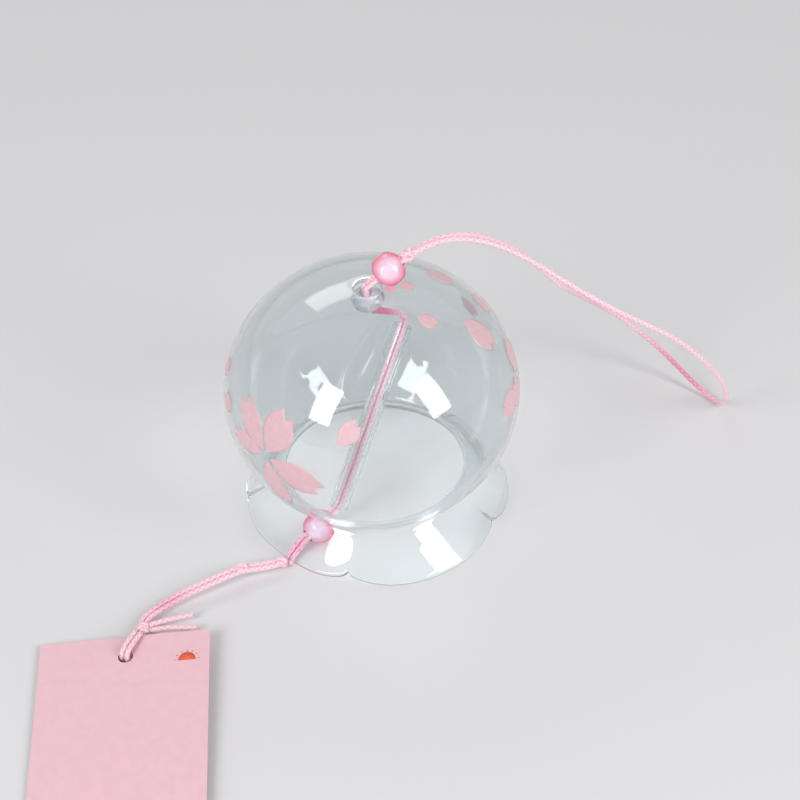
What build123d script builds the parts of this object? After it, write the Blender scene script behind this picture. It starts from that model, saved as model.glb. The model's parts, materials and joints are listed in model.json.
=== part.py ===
from build123d import *
from math import acos, asin, cos, pi, radians, sin, tan
import os

# Furin wind bell at rest on a table, in millimetres.
# The origin is on the table under the bell's axis, +Z up, +Y away from the viewer, +X to the right.

# Glass bell: an ellipsoid globe, a drawn-in neck and a flared skirt of five petals
bell_radius = 40.0
dome_half_height = 35.5
dome_centre_height = 39.3
glass_wall = 1.3
crown_hole_radius = 3.6
neck_height = 13.0
neck_fold_radius = 1.6
skirt_fall_angle = 38.0
lip_radius = 37.0
lip_roll_radius = 1.0
notch_angles = [-175.0, -103.0, -27.0, 48.0, 117.0]
notch_lift = 3.3
notch_inset = 1.0
cord_petal = 0
cord_petal_lift = 2.1
cord_petal_inset = 0.8
steps_per_petal = 6
dome_steps = 8

# Beads: egg shapes with flats at the ends of the bore and rows of flat facets
bead_bore_radius = 1.85
bead_facets = 8
facet_latitudes = [-48.0, 0.0, 48.0]
facet_depth_share = 0.93
top_bead_radius = 4.6
top_bead_half_height = 4.6
top_bead_length = 7.6
inner_bead_radius = 4.5
inner_bead_half_height = 2.9
inner_bead_length = 5.4
lower_bead_radius = 4.4
lower_bead_half_height = 4.4
lower_bead_length = 7.6

# Glass clapper tube
tube_radius = 2.6
tube_wall = 0.7
tube_length = 55.0

# Cord: one thin braid, doubled on itself, its two strands lying side by side
cord_radius = 0.7
strand_gap = 0.1
running_gap = 0.3
knot_bite = 0.6
arc_share = 0.45

# Knots, and the tilts of the three wraps of cord in each
top_knot_radius = 2.0
rim_knot_radius = 1.7
middle_knot_radius = 1.75
tag_knot_radius = 1.9
wrap_tilts = [-28.0, 0.0, 28.0]
knot_core_share = 0.78

# Paper tag: a card lying on the table, its top edge raised on the cord
tag_width = 45.0
tag_length = 140.0
tag_thickness = 0.4
tag_turn = 1.2
tag_hole_radius = 2.0
tag_hole_in = 22.9
tag_hole_down = 7.0
tag_low_lift = 0.7
tag_high_lift = 3.7
tag_foot_lift = 0.1
tag_corner = Vector(-89.5, -54.1, 0)

# Places of the beads, the tube and the knots on the cord
inner_bead_drop = 2.75
throat_axis = Vector(-0.17, -0.12, 0.978).normalized()
throat_above_bead = 0.75
crown_bend = 0.95
hanger_axis = Vector(0.809, 0.256, 0.530).normalized()
top_bead_reach = 8.0
tube_foot_inset = 9.7814
tube_foot_turn = -128.3456
tube_foot_height = 7.7
tube_axis = Vector(0.356, 0.403, 0.843).normalized()
head_bend = 2.8
foot_bend = 2.5
lower_bead_inset = 2.925
lower_bead_turn = -131.6137
lower_bead_height = 4.75
bead_exit = 0.5
lean_side = Vector(-0.75, 0.66, 0).normalized()
rim_knot_centre = Vector(-26.15, -27.85, 2.4)
rim_knot_axis = Vector(-1, -0.35, 0.1)
middle_knot_centre = Vector(-36.8, -30.7, 3.4)
middle_knot_axis = Vector(-1, -0.45, 0.1)
tag_knot_centre = Vector(-62.3, -51.0, 2.6)
tag_knot_axis = Vector(-0.46, -0.89, 0)
tag_loop_side = Vector(0.89, -0.46, 0)

# Routes of the cord where it lies free
loop_route = [
    (11.6, 4.4, 83.0), (15.9, 5.6, 84.6), (21.4, 6.9, 85.6), (27.4, 8.3, 84.6), (33.0, 10.2, 81.4),
    (38.6, 12.8, 76.2), (43.8, 15.6, 69.2), (48.6, 18.9, 61.6), (52.3, 23.0, 54.6), (55.9, 28.8, 47.6),
    (59.6, 35.0, 40.4), (64.2, 40.6, 33.4), (70.2, 44.9, 25.9), (76.6, 46.7, 18.6), (82.8, 46.4, 12.2),
    (88.6, 43.8, 6.8), (93.6, 39.6, 2.9), (97.7, 35.6, 0.95), (100.9, 32.4, 0.85), (101.5, 29.1, 4.2),
    (100.9, 24.9, 10.2), (99.4, 20.3, 17.4), (97.0, 15.2, 25.6), (93.2, 10.9, 33.9), (88.2, 8.0, 41.7),
    (81.8, 6.0, 49.0), (74.4, 4.9, 54.6), (66.4, 4.7, 59.7), (58.2, 5.1, 65.4), (50.2, 5.3, 71.6),
    (42.6, 5.6, 77.6), (35.4, 5.5, 82.2), (28.4, 4.9, 85.4), (21.6, 4.2, 86.4), (15.9, 3.3, 85.1), (11.8, 2.3, 83.1),
]
shoulder_route = [(1.3, 1.0, 65.9), (4.2, 4.0, 64.0), (7.0, 7.1, 61.0)]
lead_route = [(-19.7, -20.9, 4.0), (-21.5, -22.8, 2.7), (-23.3, -24.8, 1.3), (-24.8, -26.4, 0.85)]
tail_back_route = [
    (-27.3, -27.4, 2.5), (-31.4, -28.9, 3.0), (-35.5, -29.7, 3.3), (-39.8, -31.6, 3.8), (-44.1, -34.1, 3.7),
    (-50.5, -37.0, 2.9), (-56.8, -40.7, 2.3), (-61.1, -44.3, 2.0), (-63.4, -47.8, 2.1), (-63.3, -50.2, 2.6),
]
tail_front_route = [
    (-26.9, -28.85, 2.45), (-31.0, -30.4, 2.8), (-35.0, -31.1, 3.2), (-39.1, -33.0, 3.7), (-43.5, -35.5, 3.5),
    (-49.9, -38.4, 2.8), (-55.8, -42.0, 2.2), (-59.9, -45.2, 2.0), (-61.8, -47.9, 2.1), (-61.8, -50.0, 2.4),
]
cut_long_route = [(-60.9, -50.0, 2.9), (-57.0, -48.4, 2.8), (-53.0, -47.2, 2.5), (-49.6, -46.0, 2.2)]
cut_short_route = [(-60.7, -51.1, 2.1), (-56.6, -50.2, 2.0), (-52.3, -50.4, 1.9), (-48.3, -50.4, 1.8)]
tag_loop_route = [
    (-63.5, -53.3, 3.8), (-65.0, -56.8, 4.5), (-66.7, -60.7, 4.05), (-66.7, -60.8, 0.95), (-65.3, -57.6, 0.8),
    (-63.4, -53.1, 1.5),
]


def inside_neck(turn, inset, height):
    """Return a place at an angle round the bell, set in from the neck's outer face."""
    neck_angle = asin((neck_height - dome_centre_height) / dome_half_height)
    reach = bell_radius * cos(neck_angle) - inset
    return Vector(reach * cos(radians(turn)), reach * sin(radians(turn)), height)


def corner_radii(points):
    """Return, for each corner of a route, the largest tangent arc that its two runs allow."""
    radii = []
    for before, corner, after in zip(points, points[1:], points[2:]):
        run_in = corner - before
        run_out = after - corner
        half_turn = radians(run_in.get_angle(run_out)) / 2
        radii.append(arc_share * min(run_in.length, run_out.length) / tan(half_turn))
    return radii


def cord_tube(name, route):
    """Make a strand along a route, straight runs joined by tangent arcs, and print its radii."""
    points = [Vector(*point) for point in route]
    radii = corner_radii(points)
    path = FilletPolyline(*points, radius=radii) if radii else Line(*points)
    section = Plane(origin=path @ 0, z_dir=path % 0) * Circle(cord_radius)
    tube = sweep(section, path=path)
    share = tube.volume / (pi * cord_radius**2 * path.length)
    print(name, "length", round(path.length, 1), "volume against section times length", round(share, 4))
    print("  radii", [round(radius, 1) for radius in radii])
    return tube


def beside(route, side):
    """Return a route moved half a strand spacing sideways."""
    half_spacing = cord_radius + strand_gap / 2
    return [Vector(*point) + side * half_spacing for point in route]


def knot(centre, axis, radius):
    """Make a round knot of three crossing wraps of cord about a core."""
    body = Sphere(radius * knot_core_share)
    for tilt in wrap_tilts:
        body += Rot(0, tilt, 0) * Torus(radius - cord_radius, cord_radius)
    return Plane(origin=centre, z_dir=axis) * body


def faceted_bead(radius, half_height, length, centre, axis):
    """Make an egg-shaped bead, flat at the ends of its bore and cut by rows of flat facets."""
    profile = Ellipse(radius, half_height) & Rectangle(2 * radius, length)
    profile &= Pos(bead_bore_radius + radius, 0) * Rectangle(2 * radius, length)
    bead = revolve(Plane.XZ * profile, Axis.Z)
    for row, latitude in enumerate(facet_latitudes):
        rise = radians(latitude)
        for facet in range(bead_facets):
            turn = radians((facet + row % 2 / 2) * 360 / bead_facets)
            out = Vector(cos(rise) * cos(turn), cos(rise) * sin(turn), sin(rise))
            touch = Vector(out.X * radius, out.Y * radius, out.Z * half_height)
            facing = Vector(out.X / radius, out.Y / radius, out.Z / half_height)
            cutter = Plane(origin=touch * facet_depth_share, z_dir=facing) * Pos(0, 0, radius)
            bead -= cutter * Box(2 * radius, 2 * radius, 2 * radius)
    return Plane(origin=centre, z_dir=axis) * bead


def dome_outward(angle):
    """Return the outward direction on the globe's profile, across and up."""
    return Vector(cos(angle) / bell_radius, sin(angle) / dome_half_height).normalized()


def dome_line(inset):
    """Draw the globe's profile from the crown hole down to the neck, set in from the outer face."""
    top = acos(crown_hole_radius / bell_radius)
    bottom = asin((neck_height - dome_centre_height) / dome_half_height)
    places = []
    tangents = []
    for step in range(dome_steps + 1):
        angle = top + (bottom - top) * step / dome_steps
        face = Vector(bell_radius * cos(angle), dome_centre_height + dome_half_height * sin(angle))
        places.append(face - dome_outward(angle) * inset)
        tangents.append(Vector(bell_radius * sin(angle), -dome_half_height * cos(angle)).normalized())
    return places, tangents[0], tangents[-1]


def lip_centre(share, petal):
    """Return the middle of the rolled lip, across and up, at a share of a petal from -1 to 1."""
    across = lip_radius - lip_roll_radius - notch_inset * abs(share) ** 3
    up = lip_roll_radius + notch_lift * abs(share) ** 3
    if petal == cord_petal:
        up += cord_petal_lift * (1 - share**2) ** 2
        across -= cord_petal_inset * (1 - share**2) ** 2
    return Vector(across, up)


def bell_section(angle, lip):
    """Draw the glass wall's closed outline in the upright plane at an angle round the bell."""
    outer, top_tangent, neck_tangent = dome_line(0)
    inner, _, _ = dome_line(glass_wall)
    neck_angle = asin((neck_height - dome_centre_height) / dome_half_height)
    neck_out = dome_outward(neck_angle)
    fall = Vector(cos(radians(skirt_fall_angle)), -sin(radians(skirt_fall_angle)))
    skirt_out = Vector(-fall.Y, fall.X)
    fold = outer[-1] + neck_out * neck_fold_radius
    waist = (neck_out + skirt_out).normalized()
    inner_fold_radius = neck_fold_radius + glass_wall
    skirt_start = fold - skirt_out * (neck_fold_radius + glass_wall / 2)
    chord = (lip - skirt_start).normalized()
    arrival = chord * (2 * chord.dot(fall)) - fall
    arrival_out = Vector(-arrival.Y, arrival.X)
    skirt_top = fold - skirt_out * neck_fold_radius
    skirt_under = fold - skirt_out * inner_fold_radius
    lip_top = lip + arrival_out * lip_roll_radius
    lip_under = lip - arrival_out * lip_roll_radius
    inner_up = [place for place in reversed(inner)]
    outline = Wire([
        Edge.make_spline(outer, tangents=[top_tangent, neck_tangent]),
        Edge.make_three_point_arc(outer[-1], fold - waist * neck_fold_radius, skirt_top),
        Edge.make_spline([skirt_top, lip_top], tangents=[fall, arrival]),
        Edge.make_three_point_arc(lip_top, lip + arrival * lip_roll_radius, lip_under),
        Edge.make_spline([lip_under, skirt_under], tangents=[arrival * -1, fall * -1]),
        Edge.make_three_point_arc(skirt_under, fold - waist * inner_fold_radius, inner[-1]),
        Edge.make_spline(inner_up, tangents=[neck_tangent * -1, top_tangent * -1]),
        Edge.make_line(inner[0], outer[0]),
    ])
    across = Vector(cos(angle), sin(angle), 0)
    return Plane(origin=(0, 0, 0), x_dir=across, z_dir=(sin(angle), -cos(angle), 0)) * outline


def glass_bell():
    """Make the bell as one wall lofted round each petal, from notch to notch."""
    petals = []
    for petal, first in enumerate(notch_angles):
        last = notch_angles[(petal + 1) % len(notch_angles)]
        span = (last - first) % 360
        sections = []
        for step in range(steps_per_petal + 1):
            part = step / steps_per_petal
            lip = lip_centre(2 * part - 1, petal)
            sections.append(bell_section(radians(first + span * part), lip))
        petals.append(Solid.make_loft(sections))
    return petals[0].fuse(*petals[1:])


def clapper_tube():
    """Make the glass tube of the clapper on its axis."""
    tube = Cylinder(tube_radius, tube_length) - Cylinder(tube_radius - tube_wall, tube_length)
    return Plane(origin=tube_foot, z_dir=tube_axis) * Pos(0, 0, tube_length / 2) * tube


def paper_tag():
    """Make the card: a thin plate twisted from its raised top edge to its foot on the table."""
    turn = radians(tag_turn)
    along = Vector(sin(turn), -cos(turn), 0)
    across = Vector(cos(turn), sin(turn), 0)
    edge_rise = asin((tag_high_lift - tag_low_lift) / tag_width)
    edge = across * cos(edge_rise) + Vector(0, 0, sin(edge_rise))
    mean_lift = (tag_high_lift + tag_low_lift + tag_thickness) / 2
    top_middle = tag_corner + across * (tag_width / 2) + Vector(0, 0, mean_lift)
    foot_middle = tag_corner + across * (tag_width / 2) + along * tag_length
    foot_middle += Vector(0, 0, tag_foot_lift + tag_thickness / 2)
    card = Rectangle(tag_width, tag_thickness)
    top_edge = Plane(origin=top_middle, x_dir=edge, z_dir=along) * card
    foot_edge = Plane(origin=foot_middle, x_dir=across, z_dir=along) * card
    plate = loft([top_edge, foot_edge], ruled=True)
    hole = tag_corner + across * tag_hole_in + along * tag_hole_down
    return plate - Pos(hole) * Cylinder(tag_hole_radius, 2 * tag_width)


os.makedirs("parts", exist_ok=True)

# The bell, the beads, the tube and the tag
crown_underside = dome_centre_height + dome_half_height - glass_wall
inner_bead_centre = Vector(0, 0, crown_underside - inner_bead_drop)
tube_foot = inside_neck(tube_foot_turn, tube_foot_inset, tube_foot_height)
lower_bead_centre = inside_neck(lower_bead_turn, lower_bead_inset, lower_bead_height)
parts = {"glass_bell": glass_bell(), "clapper_tube": clapper_tube(), "paper_tag": paper_tag()}
crown_pivot = inner_bead_centre + throat_axis * (inner_bead_length / 2 + throat_above_bead + crown_bend)
top_bead_centre = crown_pivot + hanger_axis * top_bead_reach
tube_corner = tube_foot - tube_axis * foot_bend
lower_bead_axis = (lower_bead_centre - tube_corner).normalized()
parts["top_bead"] = faceted_bead(
    top_bead_radius, top_bead_half_height, top_bead_length, top_bead_centre, hanger_axis)
parts["inner_bead"] = faceted_bead(
    inner_bead_radius, inner_bead_half_height, inner_bead_length, inner_bead_centre, throat_axis)
parts["lower_bead"] = faceted_bead(
    lower_bead_radius, lower_bead_half_height, lower_bead_length, lower_bead_centre, lower_bead_axis)

# The knots
top_knot_centre = top_bead_centre + hanger_axis * (top_bead_length / 2 + running_gap + top_knot_radius)
parts["top_knot"] = knot(top_knot_centre, hanger_axis, top_knot_radius)
parts["rim_knot"] = knot(rim_knot_centre, rim_knot_axis, rim_knot_radius)
parts["middle_knot"] = knot(middle_knot_centre, middle_knot_axis, middle_knot_radius)
parts["tag_knot"] = knot(tag_knot_centre, tag_knot_axis, tag_knot_radius)

# The cord's single strands
single_routes = {
    "hanging_loop": loop_route,
    "tail_cord_back": tail_back_route,
    "tail_cord_front": tail_front_route,
    "cut_end_long": cut_long_route,
    "cut_end_short": cut_short_route,
}
for name, route in single_routes.items():
    parts[name] = cord_tube(name, route)

# The cord's doubled stretches
hinge_side = Vector(hanger_axis.Y, -hanger_axis.X, 0).normalized()
throat_reach = inner_bead_radius - 2 * running_gap
throat_route = [crown_pivot - throat_axis * crown_bend, inner_bead_centre - throat_axis * throat_reach]
neck_reach = top_knot_radius - knot_bite
neck_route = [crown_pivot + hanger_axis * crown_bend, top_knot_centre - hanger_axis * neck_reach]
clapper_route = [Vector(*point) for point in shoulder_route]
clapper_route.append(tube_foot + tube_axis * (tube_length + head_bend))
clapper_route.append(tube_corner)
clapper_route.append(lower_bead_centre + lower_bead_axis * (lower_bead_length / 2 + bead_exit))
double_routes = {
    "throat_cord": (throat_route, hinge_side),
    "neck_cord": (neck_route, hinge_side),
    "clapper_cord": (clapper_route, lean_side),
    "lead_cord": (lead_route, lean_side),
    "tag_loop": (tag_loop_route, tag_loop_side),
}
for name, (route, side) in double_routes.items():
    parts[name + "_left"] = cord_tube(name + "_left", beside(route, side))
    parts[name + "_right"] = cord_tube(name + "_right", beside(route, side * -1))

for name, shape in parts.items():
    export_step(shape, f"parts/{name}.step")
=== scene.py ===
import json
from math import acos, asin, atan2, cos, exp, pi, radians, sin

import bpy
from mathutils import Matrix, Vector
from mathutils.bvhtree import BVHTree


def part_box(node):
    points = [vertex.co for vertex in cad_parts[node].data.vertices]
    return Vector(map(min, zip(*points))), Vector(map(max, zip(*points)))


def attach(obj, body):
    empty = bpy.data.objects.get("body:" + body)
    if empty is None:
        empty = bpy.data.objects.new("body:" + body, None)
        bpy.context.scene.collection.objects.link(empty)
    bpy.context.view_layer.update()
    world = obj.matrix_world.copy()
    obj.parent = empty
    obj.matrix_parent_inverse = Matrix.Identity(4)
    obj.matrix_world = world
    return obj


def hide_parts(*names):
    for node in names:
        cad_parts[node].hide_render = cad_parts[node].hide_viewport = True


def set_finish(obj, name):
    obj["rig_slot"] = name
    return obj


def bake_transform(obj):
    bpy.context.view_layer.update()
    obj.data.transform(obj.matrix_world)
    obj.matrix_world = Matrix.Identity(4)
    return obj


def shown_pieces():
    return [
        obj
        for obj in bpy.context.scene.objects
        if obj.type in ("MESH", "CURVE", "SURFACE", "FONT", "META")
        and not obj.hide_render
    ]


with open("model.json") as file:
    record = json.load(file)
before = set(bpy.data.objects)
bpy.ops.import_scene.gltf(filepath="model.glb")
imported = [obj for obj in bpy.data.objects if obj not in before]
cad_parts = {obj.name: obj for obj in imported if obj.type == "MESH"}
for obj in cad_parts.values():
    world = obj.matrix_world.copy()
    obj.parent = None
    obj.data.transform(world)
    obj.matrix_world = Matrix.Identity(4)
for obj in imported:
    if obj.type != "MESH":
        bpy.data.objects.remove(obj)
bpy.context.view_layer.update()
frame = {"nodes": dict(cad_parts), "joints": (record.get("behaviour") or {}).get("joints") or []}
nodes = frame["nodes"]
joint_place = {joint["name"]: Vector(joint["pos_m"]) for joint in frame["joints"]}
joint_axis = {joint["name"]: Vector(joint["axis"]) for joint in frame["joints"]}

# Lengths are in metres and angles in degrees

# Camera, with the lens and its sensor in millimetres
camera_place = (0.00751, -0.47939, 0.45978)
camera_elevation = 41.535
camera_roll = -1.956
camera_lens = 106.2
sensor_width = 36.0
nearest_seen = 0.01

# Glass bell: the same profile as the solid's, with a rounded crown hole and pinched notches
globe_centre = Vector((0, 0, 0.0393))
globe_radii = Vector((0.040, 0.040, 0.0355))
glass_wall = 0.0013
crown_hole_radius = 0.0036
neck_height = 0.013
neck_fold_radius = 0.0016
skirt_fall_angle = 38
lip_radius = 0.037
lip_roll_radius = 0.001

# Petals of the skirt and the notches between them; one petal, counted from 0, lifts over the cord
notch_angles = [-175, -103, -27, 48, 117]
notch_lift = 0.0033
notch_inset = 0.001
notch_power = 3
cord_petal = 0
cord_petal_lift = 0.0021
cord_petal_inset = 0.0008
pinch_from = 0.93
pinch_lift = 0.0004
pinch_inset = 0.0006

# Fineness of the bell's mesh, and the angle from which an edge shows as a crease
globe_rows = 44
bend_rows = 10
skirt_rows = 20
petal_columns = 44
crease_angle = 35

# Prints on the globe and the card
print_lift = 0.00003
print_thickness = 0.00005

# Outline of a printed petal: its base is pointed and its tip forked
print_rows = 16
print_columns = 12
petal_roundness = 0.82
fork_point = 0.72
fork_depth = 0.19
fork_uneven = 0.05
tip_drop = 0.10
tip_power = 1.5

# Printed petals: longitude and latitude of the base, heading, where it starts, length and width
hub_gap = 0.0013
blossom_hub = (-134.1, 5.6)
blossom_petals = [
    (*blossom_hub, 137.5, hub_gap, 0.0190, 0.0084), (*blossom_hub, 73.5, hub_gap, 0.0166, 0.0106),
    (*blossom_hub, 184.0, hub_gap, 0.0157, 0.0060), (*blossom_hub, -15.5, hub_gap, 0.0196, 0.0094),
    (*blossom_hub, -77.5, hub_gap, 0.0194, 0.0082),
]
loose_petals = [
    (-36.6, 67.0, -67.3, 0, 0.0063, 0.0046), (-11.8, 51.2, -90.6, 0, 0.0131, 0.0088),
    (-10.7, -1.8, 97.5, 0, 0.0110, 0.0080), (-12.2, 7.3, 165.1, 0, 0.0124, 0.0076),
    (2.4, 26.6, -121.8, 0, 0.0111, 0.0076), (15.3, 77.4, -129.3, 0, 0.0046, 0.0036),
    (13.8, 82.0, -171.6, 0, 0.0036, 0.0030), (21.7, 41.8, -147.8, 0, 0.0078, 0.0056),
    (46.9, 17.1, -128.3, 0, 0.0086, 0.0060), (36.9, 62.0, -127.9, 0, 0.0091, 0.0066),
    (-103.9, 21.3, 52, 0, 0.0088, 0.0056), (173.2, 15.2, 7, 0, 0.0075, 0.0056),
    (-170.4, 11.3, -25, 0, 0.0068, 0.0054),
]

# Half sun printed on the card
sun_place = (-0.0502, -0.0633)
sun_radius = 0.0023
sun_tall = 1.13
sun_steps = 24
ray_inner = 0.0028
ray_outer = 0.0034
ray_width = 0.00020
ray_angles = [8, 38, 64, 90, 117, 147, 177]
above_card = 0.1

# Cord: a braid of crossing plaits, doubled on itself
cord_radius = 0.0007
strand_spacing = 0.0015
braid_sides = 18
braid_plaits = 3
braid_pitch = 0.0018
braid_depth = 0.10

# Lines of the cords: the spacing of their points, the share of it below which points are dropped, and the
# order of the curve and its fewest steps from one point of a route to the next
line_step = 0.0003
closest_share = 0.8
line_order = 3
fewest_steps = 4

# Knots: how their turns are wound, and the way their long axes point
knot_steps = 120
knot_ring_share = 0.58
knot_length_share = 0.95
rim_knot_axis = (-1, -0.35, 0.1)
middle_knot_axis = (-1, -0.45, 0.1)
tag_knot_axis = (-0.46, -0.89, 0)

# Clapper tube
tube_length = 0.055

# Places on the cord, as distances from the joint, bead, knot, tube end or strand end beside them
head_bend = 0.0028
foot_bend = 0.0025
crown_bend = 0.00095
throat_reach = 0.0039
lower_bead_exit = 0.0043
neck_reach = 0.0014
bridge_gap = 0.0006

# Share of the way into the rim knot that the lead runs beyond its route
lead_into_knot = 0.2

# Routes of the cord where it lies free, as the solids follow them. Only the loop's two ends, drawn into
# its knot, and the last two points of the shoulder lie elsewhere, by less than a millimetre
loop_route = [
    (0.0110, 0.0038, 0.0827), (0.0159, 0.0056, 0.0846), (0.0214, 0.0069, 0.0856),
    (0.0274, 0.0083, 0.0846), (0.0330, 0.0102, 0.0814), (0.0386, 0.0128, 0.0762),
    (0.0438, 0.0156, 0.0692), (0.0486, 0.0189, 0.0616), (0.0523, 0.0230, 0.0546),
    (0.0559, 0.0288, 0.0476), (0.0596, 0.0350, 0.0404), (0.0642, 0.0406, 0.0334),
    (0.0702, 0.0449, 0.0259), (0.0766, 0.0467, 0.0186), (0.0828, 0.0464, 0.0122),
    (0.0886, 0.0438, 0.0068), (0.0936, 0.0396, 0.0029), (0.0977, 0.0356, 0.00095),
    (0.1009, 0.0324, 0.00085), (0.1015, 0.0291, 0.0042), (0.1009, 0.0249, 0.0102),
    (0.0994, 0.0203, 0.0174), (0.0970, 0.0152, 0.0256), (0.0932, 0.0109, 0.0339),
    (0.0882, 0.0080, 0.0417), (0.0818, 0.0060, 0.0490), (0.0744, 0.0049, 0.0546),
    (0.0664, 0.0047, 0.0597), (0.0582, 0.0051, 0.0654), (0.0502, 0.0053, 0.0716),
    (0.0426, 0.0056, 0.0776), (0.0354, 0.0055, 0.0822), (0.0284, 0.0049, 0.0854),
    (0.0216, 0.0042, 0.0864), (0.0159, 0.0033, 0.0851), (0.0111, 0.0026, 0.0828),
]
shoulder_route = [(0.0013, 0.0010, 0.0659), (0.0042, 0.0036, 0.0634), (0.0070, 0.0066, 0.0604)]
lead_route = [
    (-0.0197, -0.0209, 0.0040), (-0.0215, -0.0228, 0.0027), (-0.0233, -0.0248, 0.0013),
    (-0.0248, -0.0264, 0.00085),
]
tail_back_route = [
    (-0.0273, -0.0274, 0.0025), (-0.0314, -0.0289, 0.0030), (-0.0355, -0.0297, 0.0033),
    (-0.0398, -0.0316, 0.0038), (-0.0441, -0.0341, 0.0037), (-0.0505, -0.0370, 0.0029),
    (-0.0568, -0.0407, 0.0023), (-0.0611, -0.0443, 0.0020), (-0.0634, -0.0478, 0.0021),
    (-0.0633, -0.0502, 0.0026),
]
tail_front_route = [
    (-0.0269, -0.02885, 0.00245), (-0.0310, -0.0304, 0.0028), (-0.0350, -0.0311, 0.0032),
    (-0.0391, -0.0330, 0.0037), (-0.0435, -0.0355, 0.0035), (-0.0499, -0.0384, 0.0028),
    (-0.0558, -0.0420, 0.0022), (-0.0599, -0.0452, 0.0020), (-0.0618, -0.0479, 0.0021),
    (-0.0618, -0.0500, 0.0024),
]
cut_long_route = [
    (-0.0609, -0.0500, 0.0029), (-0.0570, -0.0484, 0.0028), (-0.0530, -0.0472, 0.0025),
    (-0.0496, -0.0460, 0.0022),
]
cut_short_route = [
    (-0.0607, -0.0511, 0.0021), (-0.0566, -0.0502, 0.0020), (-0.0523, -0.0504, 0.0019),
    (-0.0483, -0.0504, 0.0018),
]
tag_loop_route = [
    (-0.0635, -0.0533, 0.0038), (-0.0650, -0.0568, 0.0045), (-0.0667, -0.0607, 0.00405),
    (-0.0667, -0.0608, 0.00095), (-0.0653, -0.0576, 0.0008), (-0.0634, -0.0531, 0.0015),
]

# Way from one strand to the other in the loop through the card
tag_loop_side = Vector((0.89, -0.46, 0)).normalized()

# Measured lengths of the free cords
tail_back_length = 0.0448
tail_front_length = 0.0426

# Painted shade on the cord: where its colour deepens, at which share of a stretch, over how much of it,
# and how strongly
loop_painted_shade = [(0.45, 0.05, 0.65), (0.30, 0.05, 0.25)]
tail_painted_shade = [(0.75, 0.12, 0.3)]
throat_painted_shade = [(1, 0.5, 0.5)]
clapper_painted_shade = [(0.02, 0.09, 0.9)]
shoulder_painted_shade = [(0.5, 2, 0.9)]
lead_painted_shade = [(0.4, 0.4, 0.5)]

# Colours, as red, green and blue from 0 to 255
bell_colour = (240, 245, 246)
tube_colour = (251, 254, 254)
# The beads' pale colours are painted light round a spot toward the camera; their deep colours lie towards
# the edges
bead_painted_light = (247, 228, 247)
bead_pink = (244, 98, 146)
clear_bead_painted_light = (240, 241, 244)
clear_bead_deep = (196, 199, 208)
cord_pale = (250, 216, 226)
# The cord's deep colour is painted shade, in the braid's grooves and along its shaded stretches
cord_shaded = (222, 108, 152)
card_pale = (236, 195, 204)
card_deep = (233, 189, 199)
petal_pale = (228, 192, 198)
petal_deep = (222, 183, 190)
sun_red = (232, 84, 52)
sun_orange = (238, 112, 70)
floor_grey = (222, 221, 223)

# Glass: its waves, the share of light that passes a face, and the mirrorings after which light is caught
bell_wave_scale = 45
tube_wave_scale = 120
glass_wave_height = 0.0001
glass_clearness = 0.86
bead_clearness = 0.85
caught_after = 2

# Beads' painted light: how far its pale spot lies off the middle toward the camera, its radius, and the
# radius of full colour
pink_painted_light_offset = 0.004
clear_painted_light_offset = 0.002
painted_light_radius = 0.0022
full_colour_radius = 0.0060

# Shares of the deep colour: what clouds add, and what the painted light spot has before them, below 0 to
# keep it pale
cloud_share = 0.5
painted_light_share = -0.25

# Floor, and soft lamps with their place, width and height, and power in watts
floor_reach = 3.0
floor_drop = 0.0001
lamps = [
    ("left_softbox", (-0.50, -0.55, 0.55), (0.26, 0.50), 3.75),
    ("right_softbox", (0.62, -0.42, 0.50), (0.26, 0.50), 3.4),
    ("back_softbox", (-0.15, 0.75, 0.65), (0.70, 0.30), 1.5),
]
lamp_aim = Vector((0, 0, 0.03))

# Brightness of the surroundings near the horizon and overhead, and the heights between which it changes
horizon_level = 0.66
overhead_level = 0.32
horizon_height = 0.1
overhead_height = 0.9

# The Mix node's colour sockets share their names with others, so they are reached by number
mix_first = 6
mix_second = 7
mix_result = 2


def make_camera():
    """Place the camera at the photograph's angle, with its small roll."""
    data = bpy.data.cameras.new("camera")
    data.lens = camera_lens
    data.sensor_width = sensor_width
    data.clip_start = nearest_seen
    camera = bpy.data.objects.new("camera", data)
    tilt = Matrix.Rotation(radians(90 - camera_elevation), 4, "X")
    roll = Matrix.Rotation(radians(camera_roll), 4, "Z")
    camera.matrix_world = Matrix.Translation(camera_place) @ tilt @ roll
    bpy.context.scene.collection.objects.link(camera)
    bpy.context.scene.camera = camera


def new_mesh(name, points, faces):
    """Link a smooth mesh object made from points and faces."""
    mesh = bpy.data.meshes.new(name)
    mesh.from_pydata([tuple(point) for point in points], [], faces)
    for polygon in mesh.polygons:
        polygon.use_smooth = True
    mesh.update()
    piece = bpy.data.objects.new(name, mesh)
    bpy.context.scene.collection.objects.link(piece)
    return piece


def node_middle(node):
    """Return the middle of a node's box."""
    low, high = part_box(node)
    return (low + high) / 2


def smooth_line(name, route):
    """Return the points of the smooth line that has a route's points as its control points."""
    longest = max((Vector(after) - Vector(before)).length for before, after in zip(route, route[1:]))
    curve = bpy.data.curves.new(name + "_line", "CURVE")
    curve.dimensions = "3D"
    spline = curve.splines.new("NURBS")
    spline.points.add(len(route) - 1)
    for point, place in zip(spline.points, route):
        point.co = (*place, 1)
    spline.order_u = min(line_order, len(route))
    spline.use_endpoint_u = True
    spline.resolution_u = max(fewest_steps, round(longest / line_step))
    line = bpy.data.objects.new(name + "_line", curve)
    bpy.context.scene.collection.objects.link(line)
    mesh = bpy.data.meshes.new_from_object(line)
    points = [vertex.co.copy() for vertex in mesh.vertices]
    bpy.data.meshes.remove(mesh)
    bpy.data.objects.remove(line)
    bpy.data.curves.remove(curve)
    return points


def spread(points, step):
    """Drop the points of a line that lie closer together than a step, and keep both ends."""
    kept = [points[0]]
    for point in points[1:-1]:
        if (point - kept[-1]).length >= step:
            kept.append(point)
    kept.append(points[-1])
    return kept


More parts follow.
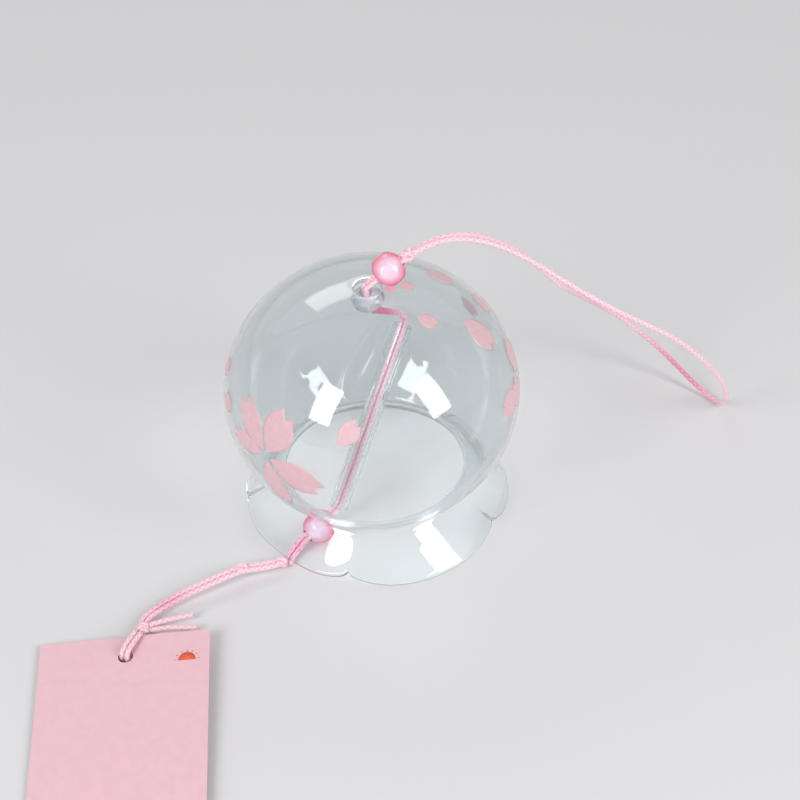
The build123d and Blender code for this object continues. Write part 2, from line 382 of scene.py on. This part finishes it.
def lengths_along(line):
    """Return how far along a line each of its points lies."""
    reach = [0.0]
    for before, after in zip(line, line[1:]):
        reach.append(reach[-1] + (after - before).length)
    return reach


def braid_rings(line, reach, deep):
    """Return the points round a braided strand, ring by ring, and how deep the painted shade is at each.
    """
    across = (line[1] - line[0]).orthogonal().normalized()
    points, painted_shade_tint = [], []
    for step, place in enumerate(line):
        ahead = (line[min(step + 1, len(line) - 1)] - line[max(step - 1, 0)]).normalized()
        across = (across - ahead * across.dot(ahead)).normalized()
        beside = ahead.cross(across)
        along = 2 * pi * reach[step] / braid_pitch
        share = reach[step] / reach[-1]
        # How deep the painted shade is at this point of the strand
        shade_depth = sum(much * exp(-(((share - where) / far) ** 2)) for where, far, much in deep)
        for side in range(braid_sides):
            turn = 2 * pi * side / braid_sides
            crest = max(sin(along + braid_plaits * turn), sin(along - braid_plaits * turn))
            radius = cord_radius * (1 - braid_depth * (1 - crest) / 2)
            points.append(place + (across * cos(turn) + beside * sin(turn)) * radius)
            painted_shade_tint.append(shade_depth)
    return points, painted_shade_tint


def braid_skin(reach):
    """Return the faces over a strand's rings, and their corners' turns along and round the braid."""
    faces, turns = [], []
    plait_turn = 2 * pi * braid_plaits / braid_sides
    for step in range(len(reach) - 1):
        start = 2 * pi * reach[step] / braid_pitch
        stop = 2 * pi * reach[step + 1] / braid_pitch
        for side in range(braid_sides):
            here = step * braid_sides + side
            beside = step * braid_sides + (side + 1) % braid_sides
            faces.append((here, beside, beside + braid_sides, here + braid_sides))
            low, high = plait_turn * side, plait_turn * (side + 1)
            turns += [(start, low), (start, high), (stop, high), (stop, low)]
    last = (len(reach) - 1) * braid_sides
    faces.append(tuple(reversed(range(braid_sides))))
    faces.append(tuple(range(last, last + braid_sides)))
    turns += [(0, 0)] * (2 * braid_sides)
    return faces, turns


def braid(name, line, deep=()):
    """Sweep a braided strand along a line. Each deep entry is painted shade: where, how far and how much
    it deepens.
    """
    line = spread(line, line_step * closest_share)
    reach = lengths_along(line)
    points, painted_shade_tint = braid_rings(line, reach, deep)
    faces, turns = braid_skin(reach)
    piece = new_mesh(name, points, faces)
    uv = piece.data.uv_layers.new(name="braid")
    for corner, turn in zip(uv.data, turns):
        corner.uv = turn
    # The painted shade along the strand is kept on its points
    layer = piece.data.attributes.new("painted_shade_tint", "FLOAT", "POINT")
    layer.data.foreach_set("value", painted_shade_tint)
    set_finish(piece, "cord")
    return piece


def shifted(route, side, way):
    """Return a route moved half a strand spacing to one side."""
    return [Vector(place) + side * way * strand_spacing / 2 for place in route]


def doubled(name, route, side, deep=()):
    """Make the two strands of a doubled stretch of cord, side by side."""
    left = braid(name + "_left", smooth_line(name, shifted(route, side, 1)), deep)
    right = braid(name + "_right", smooth_line(name, shifted(route, side, -1)), deep)
    return left, right


def follow(pair, body, node):
    """Let the two strands of a stretch follow a body, in place of the node's left and right strands."""
    for piece, hand in zip(pair, ("_left", "_right")):
        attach(piece, body)
        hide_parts(node + hand)


def free_cords():
    line = smooth_line("loop", loop_route)
    loop = braid("loop_braid", line, loop_painted_shade)
    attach(loop, "hanger")
    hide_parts("hanging_loop")
    tails = [("tail_back", tail_back_route, "tail_cord_back", tail_back_length),
             ("tail_front", tail_front_route, "tail_cord_front", tail_front_length)]
    for name, route, node, length in tails:
        line = smooth_line(name, route)
        tail = braid(name + "_braid", line, tail_painted_shade)
        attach(tail, "tail")
        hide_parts(node)


def throat_foot():
    """Return where the cord leaves the clear bead, on its way down."""
    return joint_place["clear_bead_spin"] - joint_axis["clear_bead_spin"] * throat_reach


def crown_cords():
    """Make the strands inside the clear bead and the top bead, and their bend at the crown."""
    pivot, hinge = joint_place["loop_lift"], joint_axis["loop_lift"]
    bead, throat = joint_place["clear_bead_spin"], joint_axis["clear_bead_spin"]
    neck = joint_axis["top_bead_spin"]
    throat_top = pivot - throat * crown_bend
    neck_start = pivot + neck * crown_bend
    neck_end = node_middle("top_knot") - neck * neck_reach
    throat_pair = doubled("throat", [throat_top, bead, throat_foot()], hinge, throat_painted_shade)
    follow(throat_pair, "crown_cord", "throat_cord")
    neck_pair = doubled("neck", [neck_start, (neck_start + neck_end) / 2, neck_end], hinge)
    follow(neck_pair, "hanger", "neck_cord")
    for piece in doubled("crown_bridge", [throat_top, pivot, neck_start], hinge):
        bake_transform(piece)


def clapper_cords():
    """Make the strands from the clear bead through the tube and the lower bead to the rim knot.

    The stretches between the bell and the clapper, at the shoulder and at the lead under the lip, are set
    in place apart from either body.
    """
    lean = -joint_axis["clapper_swing"]
    foot, tube = joint_place["tube_spin"], joint_axis["tube_spin"]
    head = foot + tube * (tube_length + head_bend)
    heel = foot - tube * foot_bend
    end = joint_place["lower_bead_spin"] + joint_axis["lower_bead_spin"] * lower_bead_exit
    shoulder = [Vector(place) for place in shoulder_route]
    near_head = head + (heel - head).normalized() * (head - shoulder[-1]).length
    near_heel = heel + (head - heel).normalized() * (end - heel).length
    clapper_route = [*shoulder, head, near_head, near_heel, heel, end]
    follow(doubled("clapper", clapper_route, lean, clapper_painted_shade), "clapper", "clapper_cord")
    bridge_start = throat_foot() - joint_axis["clear_bead_spin"] * bridge_gap
    bridge_route = [bridge_start, (bridge_start + shoulder[0]) / 2, shoulder[0]]
    for piece in doubled("shoulder_bridge", bridge_route, lean, shoulder_painted_shade):
        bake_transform(piece)
    lead_end = Vector(lead_route[-1]).lerp(joint_place["tail_turn"], lead_into_knot)
    lead = doubled("lead", [end, *lead_route, lead_end], lean, lead_painted_shade)
    for piece, hand in zip(lead, ("_left", "_right")):
        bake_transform(piece)
        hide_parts("lead_cord" + hand)


def card_cords():
    """Make the two cut ends at the tag knot, and the loop through the card's hole."""
    for name, route, node in [("cut_long", cut_long_route, "cut_end_long"),
                              ("cut_short", cut_short_route, "cut_end_short")]:
        piece = braid(name + "_braid", smooth_line(name, route))
        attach(piece, "tail")
        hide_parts(node)
    follow(doubled("tag_loop", tag_loop_route, tag_loop_side), "tag", "tag_loop")


def tied_knot(node, body, axis):
    """Tie a strand into a small tight knot, a trefoil drawn in until its turns press together."""
    low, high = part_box(node)
    middle = node_middle(node)
    room = max(high - low) / 2 - cord_radius
    turn_about = Vector(axis).normalized().to_track_quat("Z", "Y").to_matrix()
    ring, swell = room * knot_ring_share, room * (1 - knot_ring_share)
    line = []
    for step in range(knot_steps + 1):
        turn = 2 * pi * step / knot_steps
        reach = ring + swell * cos(3 * turn)
        rise = knot_length_share * room * sin(3 * turn)
        place = Vector((reach * cos(2 * turn), reach * sin(2 * turn), rise))
        line.append(middle + turn_about @ place)
    piece = braid(node + "_tied", line)
    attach(piece, body)
    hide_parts(node)


def arc(centre, radius, first, last, rows):
    """Return points round an arc from one direction to another, both in radians."""
    steps = [first + (last - first) * row / rows for row in range(rows + 1)]
    return [centre + Vector((cos(turn), sin(turn))) * radius for turn in steps]


def bend(start, stop, leave, arrive, rows):
    """Return points of a smooth curve that leaves and arrives in given directions."""
    pull = (stop - start).length
    points = []
    for row in range(rows + 1):
        share = row / rows
        near = (1 + 2 * share) * (1 - share) ** 2
        far = share**2 * (3 - 2 * share)
        out = share * (1 - share) ** 2 * pull
        back = share**2 * (share - 1) * pull
        points.append(start * near + stop * far + leave * out + arrive * back)
    return points


def lip_middle(share, petal):
    """Return the middle of the rolled lip, across and up, at a share of a petal from -1 to 1."""
    notch = abs(share) ** notch_power
    across = lip_radius - lip_roll_radius - notch_inset * notch
    up = lip_roll_radius + notch_lift * notch
    if petal == cord_petal:
        hump = (1 - share**2) ** 2
        up += cord_petal_lift * hump
        across -= cord_petal_inset * hump
    pinch = max(0, (abs(share) - pinch_from) / (1 - pinch_from)) ** 2
    return Vector((across - pinch_inset * pinch, up + pinch_lift * pinch))


def globe_wall():
    """Return the globe's outer and inner face, from the crown hole down, and the way out at the neck."""
    wide, high = globe_radii.x, globe_radii.z
    top = acos((crown_hole_radius + glass_wall / 2) / wide)
    bottom = asin((neck_height - globe_centre.z) / high)
    outer, inner = [], []
    for row in range(globe_rows + 1):
        angle = top + (bottom - top) * row / globe_rows
        face = Vector((wide * cos(angle), globe_centre.z + high * sin(angle)))
        outward = Vector((cos(angle) / wide, sin(angle) / high)).normalized()
        outer.append(face)
        inner.append(face - outward * glass_wall)
    return outer, inner, outward


def bell_outline(lip):
    """Return the glass wall's closed outline, across and up: globe, neck, skirt, lip and back inside."""
    outer, inner, outward = globe_wall()
    fall = Vector((cos(radians(skirt_fall_angle)), -sin(radians(skirt_fall_angle))))
    skirt_out = Vector((-fall.y, fall.x))
    fold = outer[-1] + outward * neck_fold_radius
    under_radius = neck_fold_radius + glass_wall
    neck_turn = atan2(-outward.y, -outward.x)
    skirt_turn = atan2(-skirt_out.y, -skirt_out.x) + 2 * pi
    # The skirt arrives at the lip as it left the fold, mirrored about the chord between them
    chord = (lip - fold + skirt_out * (neck_fold_radius + glass_wall / 2)).normalized()
    arrival = chord * (2 * chord.dot(fall)) - fall
    lip_out = atan2(arrival.x, -arrival.y)
    lip_points = arc(lip, lip_roll_radius, lip_out, lip_out - pi, bend_rows)
    outline = list(outer)
    outline += arc(fold, neck_fold_radius, neck_turn, skirt_turn, bend_rows)[1:]
    outline += bend(outline[-1], lip_points[0], fall, arrival, skirt_rows)[1:]
    outline += lip_points[1:]
    under = fold - skirt_out * under_radius
    outline += bend(outline[-1], under, -arrival, -fall, skirt_rows)[1:]
    outline += arc(fold, under_radius, skirt_turn, neck_turn, bend_rows)[1:]
    outline += inner[-2::-1]
    through = inner[0] - outer[0]
    edge_turn = atan2(through.y, through.x)
    edge = (inner[0] + outer[0]) / 2
    outline += arc(edge, glass_wall / 2, edge_turn, edge_turn - pi, bend_rows)[1:-1]
    return outline


def blown_bell():
    """Make the bell's glass: its outline carried round, with columns closer together at the notches."""
    rings = []
    for petal, first in enumerate(notch_angles):
        last = notch_angles[(petal + 1) % len(notch_angles)]
        span = (last - first) % 360
        for column in range(petal_columns):
            part = (1 - cos(pi * column / petal_columns)) / 2
            turn = radians(first + span * part)
            outline = bell_outline(lip_middle(2 * part - 1, petal))
            rings.append([(point.x * cos(turn), point.x * sin(turn), point.y) for point in outline])
    rows = len(rings[0])
    faces = []
    for ring in range(len(rings)):
        here, there = ring * rows, (ring + 1) % len(rings) * rows
        for row in range(rows):
            after = (row + 1) % rows
            faces.append((here + row, here + after, there + after, there + row))
    piece = new_mesh("blown_bell", [point for ring in rings for point in ring], faces)
    piece.data.set_sharp_from_angle(angle=radians(crease_angle))
    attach(piece, "bell")
    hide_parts("glass_bell")
    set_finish(piece, "glass")
    return piece


def globe_frame(longitude, latitude):
    """Return a point on the globe, and the ways east and up along its face there."""
    turn, rise = radians(longitude), radians(latitude)
    unit = Vector((cos(rise) * cos(turn), cos(rise) * sin(turn), sin(rise)))
    place = Vector(a * b for a, b in zip(unit, globe_radii))
    outward = Vector(a / b for a, b in zip(unit, globe_radii)).normalized()
    east = Vector((0, 0, 1)).cross(outward).normalized()
    return place, east, outward.cross(east)


def petal_reach(side):
    """Return how far up its length a printed petal reaches, at a share of its width from -1 to 1."""
    if abs(side) < fork_point:
        reach = 1 - fork_depth * (1 - abs(side) / fork_point)
    else:
        reach = 1 - tip_drop * ((abs(side) - fork_point) / (1 - fork_point)) ** tip_power
    if side < 0:
        reach -= fork_uneven * min(1, -side / fork_point)
    return reach


def add_petal(longitude, latitude, heading, start, length, width, points, faces):
    """Add one printed petal: pointed at its base, widest past its middle, with an uneven forked tip."""
    base, east, up = globe_frame(longitude, latitude)
    along = east * cos(radians(heading)) + up * sin(radians(heading))
    aside = up * cos(radians(heading)) - east * sin(radians(heading))
    first = len(points)
    for row in range(print_rows + 1):
        share = row / print_rows
        half_width = width / 2 * sin(petal_roundness * pi * share)
        for column in range(print_columns + 1):
            side = 2 * column / print_columns - 1
            ahead = start + (length - start) * share * petal_reach(side)
            flat = base + along * ahead + aside * (half_width * side)
            outward = Vector(a / b for a, b in zip(flat, globe_radii)).normalized()
            face = Vector(a * b for a, b in zip(outward, globe_radii))
            points.append(globe_centre + face + outward * print_lift)
    for row in range(print_rows):
        for column in range(print_columns):
            here = first + row * (print_columns + 1) + column
            above = here + print_columns + 1
            faces.append((here, here + 1, above + 1, above))


def print_skin(name, points, faces, body):
    """Make a print as one thin skin that follows a body."""
    piece = new_mesh(name, points, faces)
    skin = piece.modifiers.new("thickness", "SOLIDIFY")
    skin.thickness = print_thickness
    skin.offset = 1
    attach(piece, body)
    return piece


def printed_petals(name, petals):
    """Print a group of petals on the glass."""
    points, faces = [], []
    for petal in petals:
        add_petal(*petal, points, faces)
    return print_skin(name, points, faces, "bell")


def half_sun():
    """Print a half disc with short rays on the card's upper face."""
    card = nodes["paper_tag"].data
    tree = BVHTree.FromPolygons([vertex.co for vertex in card.vertices],
                                [polygon.vertices for polygon in card.polygons])

    def on_card(across, down):
        over = Vector((sun_place[0] + across, sun_place[1] + down, above_card))
        place = tree.ray_cast(over, Vector((0, 0, -1)))[0]
        return place + Vector((0, 0, print_lift))

    points = [on_card(0, 0)]
    for step in range(sun_steps + 1):
        turn = pi * step / sun_steps
        points.append(on_card(sun_radius * cos(turn), sun_radius * sun_tall * sin(turn)))
    faces = [(0, step, step + 1) for step in range(1, sun_steps + 1)]
    for angle in ray_angles:
        out = Vector((cos(radians(angle)), sin(radians(angle)), 0))
        side = Vector((-out.y, out.x, 0)) * ray_width / 2
        first = len(points)
        for corner in (out * ray_inner - side, out * ray_outer - side, out * ray_outer + side,
                       out * ray_inner + side):
            points.append(on_card(corner.x, corner.y))
        faces.append((first, first + 1, first + 2, first + 3))
    return print_skin("sun_print", points, faces, "tag")


def linear(colour):
    """Turn an sRGB colour, written from 0 to 255, into the renderer's linear values."""
    shares = [value / 255 for value in colour]
    lit = [share / 12.92 if share <= 0.04045 else ((share + 0.055) / 1.055) ** 2.4 for share in shares]
    return (*lit, 1)


def add(tree, kind, inputs=None, **settings):
    """Add a shader node with its settings, and constants or links on its inputs."""
    made = tree.nodes.new(kind)
    for key, value in settings.items():
        setattr(made, key, value)
    for key, value in (inputs or {}).items():
        if isinstance(value, bpy.types.NodeSocket):
            tree.links.new(value, made.inputs[key])
        else:
            made.inputs[key].default_value = value
    return made


def object_place(tree):
    """Return the place on the object, in its own coordinates."""
    return add(tree, "ShaderNodeTexCoord").outputs["Object"]


def noise(tree, scale, detail):
    """Return noise over the object."""
    made = add(tree, "ShaderNodeTexNoise",
               {"Vector": object_place(tree), "Scale": scale, "Detail": detail})
    return made.outputs["Fac"]


def calculate(tree, operation, *values, clamp=False):
    """Return the result of a calculation with values."""
    made = add(tree, "ShaderNodeMath", dict(enumerate(values)), operation=operation, use_clamp=clamp)
    return made.outputs[0]


def map_range(tree, value, low, high, at_low=0.0, at_high=1.0):
    """Return a value carried from one range into another, and held at its ends."""
    made = add(tree, "ShaderNodeMapRange",
               {"Value": value, "From Min": low, "From Max": high, "To Min": at_low, "To Max": at_high})
    return made.outputs["Result"]


def mix_colours(tree, factor, first, second):
    """Return a colour that a factor carries from one colour to another."""
    ends = {mix_first: linear(first), mix_second: linear(second)}
    made = add(tree, "ShaderNodeMix", {"Factor": factor, **ends}, data_type="RGBA")
    return made.outputs[mix_result]


def emboss(tree, shader, height, strength, distance):
    """Raise and lower a surface a little, as a bump."""
    bump = add(tree, "ShaderNodeBump",
               {"Height": height, "Strength": strength, "Distance": distance})
    tree.links.new(bump.outputs["Normal"], shader.inputs["Normal"])


def base_material(name, colour, constants):
    """Start a material with one main shader and its constants."""
    material = bpy.data.materials.new(name)
    material.use_nodes = True
    shader = material.node_tree.nodes["Principled BSDF"]
    shader.inputs["Base Color"].default_value = linear(colour)
    for socket, value in constants.items():
        shader.inputs[socket].default_value = value
    return material, material.node_tree, shader


def lit_through(tree, shader, clearness):
    """Let lamplight reach what is inside, and let light that is caught in the wall leave it again.

    Shadow rays, and rays mirrored several times inside, pass the glass and lose a little at each face.
    """
    path = add(tree, "ShaderNodeLightPath")
    caught = calculate(tree, "GREATER_THAN", path.outputs["Glossy Depth"], caught_after)
    passes = calculate(tree, "MAXIMUM", path.outputs["Is Shadow Ray"], caught)
    clear = add(tree, "ShaderNodeBsdfTransparent", {"Color": (clearness, clearness, clearness, 1)})
    mixed = add(tree, "ShaderNodeMixShader",
                {0: passes, 1: shader.outputs["BSDF"], 2: clear.outputs["BSDF"]})
    tree.links.new(mixed.outputs["Shader"], tree.nodes["Material Output"].inputs["Surface"])


def glass_material(name, colour, wave_scale):
    """Clear glass whose faces wave a little, as blown or drawn glass does."""
    material, tree, shader = base_material(
        name, colour,
        {"Roughness": 0.0, "Transmission Weight": 1.0, "IOR": 1.5, "Specular IOR Level": 0.6})
    waves = noise(tree, wave_scale, detail=1.5)
    emboss(tree, shader, waves, strength=0.3, distance=glass_wave_height)
    lit_through(tree, shader, glass_clearness)
    return material


def painted_light_place(bead, offset):
    """Return the place of a bead's painted light spot, off its middle on the side toward the camera."""
    to_camera = (Vector(camera_place) - node_middle("top_bead")).normalized()
    return node_middle(bead) + to_camera * offset


def bead_material(name, pale, deep, painted_light_centre, transmission):
    """Moulded see-through acrylic, faintly clouded, with painted light: pale round a spot toward the
    camera, deeper towards its edges.
    """
    material, tree, shader = base_material(
        name, pale,
        {"Roughness": 0.12, "Transmission Weight": transmission, "IOR": 1.49, "Coat Weight": 0.5,
         "Coat Roughness": 0.05, "Subsurface Weight": 0.2, "Subsurface Scale": 0.002})
    away = add(tree, "ShaderNodeVectorMath", {0: object_place(tree), 1: painted_light_centre}, operation="DISTANCE")
    colour_share = map_range(tree, away.outputs["Value"], painted_light_radius, full_colour_radius, painted_light_share)
    cloud = noise(tree, scale=420, detail=3)
    clouded = calculate(tree, "MULTIPLY_ADD", cloud, cloud_share, colour_share, clamp=True)
    tree.links.new(mix_colours(tree, clouded, pale, deep), shader.inputs["Base Color"])
    emboss(tree, shader, cloud, strength=0.2, distance=0.0001)
    lit_through(tree, shader, bead_clearness)
    return material


def cord_material():
    """Braided nylon with painted shade: plaits that darken in their grooves, and colour that deepens
    where shade is painted along the cord.
    """
    material, tree, shader = base_material(
        "cord", cord_pale,
        {"Roughness": 0.42, "Sheen Weight": 0.35, "Subsurface Weight": 0.15, "Subsurface Scale": 0.0005})
    uv = add(tree, "ShaderNodeUVMap", uv_map="braid")
    turns = add(tree, "ShaderNodeSeparateXYZ", {"Vector": uv.outputs["UV"]})
    plaits = [calculate(tree, "SINE", calculate(tree, way, turns.outputs["X"], turns.outputs["Y"]))
              for way in ("ADD", "SUBTRACT")]
    crest = calculate(tree, "MAXIMUM", *plaits)
    # Painted shade in the braid's grooves, darker where the plaits dip
    groove_shade = map_range(tree, crest, low=0.8, high=0.0, at_low=0.0, at_high=0.35)
    # Painted shade laid along the cord's stretches
    painted_shade_tint = add(tree, "ShaderNodeAttribute", attribute_name="painted_shade_tint")
    shade_depth = calculate(tree, "ADD", groove_shade, painted_shade_tint.outputs["Fac"], clamp=True)
    tree.links.new(mix_colours(tree, shade_depth, cord_pale, cord_shaded), shader.inputs["Base Color"])
    emboss(tree, shader, crest, strength=0.5, distance=0.00006)
    return material


def mottle(tree, scale, detail, first, second):
    """Return a colour that drifts between two through fine noise, and the noise."""
    drift = noise(tree, scale, detail)
    return mix_colours(tree, map_range(tree, drift, low=0.3, high=0.7), first, second), drift


def paper_material():
    """Matte card with fine fibres and a faint mottle."""
    material, tree, shader = base_material(
        "paper", card_pale, {"Roughness": 0.85, "Specular IOR Level": 0.3})
    colour, _ = mottle(tree, scale=350, detail=4, first=card_pale, second=card_deep)
    tree.links.new(colour, shader.inputs["Base Color"])
    fibres = noise(tree, scale=2400, detail=5)
    emboss(tree, shader, fibres, strength=0.35, distance=0.00005)
    return material


def ink_material(name, first, second, roughness):
    """Screen-printed ink, slightly uneven in cover."""
    material, tree, shader = base_material(name, first, {"Roughness": roughness, "Coat Weight": 0.15})
    colour, cover = mottle(tree, scale=700, detail=3, first=first, second=second)
    tree.links.new(colour, shader.inputs["Base Color"])
    emboss(tree, shader, cover, strength=0.2, distance=0.00003)
    return material


def wear(piece, material):
    """Give a piece one material."""
    piece.data.materials.clear()
    piece.data.materials.append(material)


def pale_floor():
    """Make the wide pale floor, just under the bell and its card."""
    corners = [(-floor_reach, -floor_reach, 0), (floor_reach, -floor_reach, 0),
               (floor_reach, floor_reach, 0), (-floor_reach, floor_reach, 0)]
    floor = new_mesh("floor", corners, [(0, 1, 2, 3)])
    floor.location.z = -floor_drop
    constants = {"Roughness": 0.6, "Specular IOR Level": 0.2}
    wear(floor, base_material("floor", floor_grey, constants)[0])


def soft_lamps():
    """Hang the soft lamps round the bell, turned to it."""
    for name, place, size, power in lamps:
        data = bpy.data.lights.new(name, "AREA")
        data.shape = "RECTANGLE"
        data.size, data.size_y = size
        data.energy = power
        lamp = bpy.data.objects.new(name, data)
        lamp.location = place
        lamp.rotation_euler = (lamp_aim - Vector(place)).to_track_quat("-Z", "Y").to_euler()
        bpy.context.scene.collection.objects.link(lamp)


def surroundings():
    """Make the pale surroundings, brighter near the horizon than overhead."""
    world = bpy.data.worlds.new("studio")
    world.use_nodes = True
    tree = world.node_tree
    where = add(tree, "ShaderNodeTexCoord")
    height = add(tree, "ShaderNodeSeparateXYZ", {"Vector": where.outputs["Generated"]})
    level = map_range(tree, height.outputs["Z"], horizon_height, overhead_height,
                   horizon_level, overhead_level)
    tree.links.new(level, tree.nodes["Background"].inputs["Color"])
    bpy.context.scene.world = world
    bpy.context.scene.view_settings.view_transform = "Standard"


# Camera and shapes
make_camera()
free_cords()
crown_cords()
clapper_cords()
card_cords()
tied_knot("top_knot", "hanger", joint_axis["top_bead_spin"])
tied_knot("rim_knot", "tail", rim_knot_axis)
tied_knot("middle_knot", "tail", middle_knot_axis)
tied_knot("tag_knot", "tail", tag_knot_axis)
glass = blown_bell()
prints = [printed_petals("blossom_print", blossom_petals),
          printed_petals("petal_prints", loose_petals)]
sun = half_sun()

# Materials
wear(glass, glass_material("bell_glass", bell_colour, bell_wave_scale))
wear(nodes["clapper_tube"], glass_material("tube_glass", tube_colour, tube_wave_scale))
wear(nodes["top_bead"], bead_material("top_acrylic", bead_painted_light, bead_pink,
                                      painted_light_place("top_bead", pink_painted_light_offset), transmission=0.25))
wear(nodes["lower_bead"], bead_material("lower_acrylic", bead_painted_light, bead_pink,
                                        painted_light_place("lower_bead", pink_painted_light_offset), transmission=0.35))
wear(nodes["inner_bead"], bead_material("clear_acrylic", clear_bead_painted_light, clear_bead_deep,
                                        painted_light_place("inner_bead", clear_painted_light_offset), transmission=0.75))
wear(nodes["paper_tag"], paper_material())
cord_look = cord_material()
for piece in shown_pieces():
    if piece.get("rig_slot") == "cord":
        wear(piece, cord_look)
ink = ink_material("petal_ink", petal_pale, petal_deep, roughness=0.4)
for piece in prints:
    wear(piece, ink)
wear(sun, ink_material("sun_ink", sun_red, sun_orange, roughness=0.6))

# Studio
pale_floor()
soft_lamps()
surroundings()
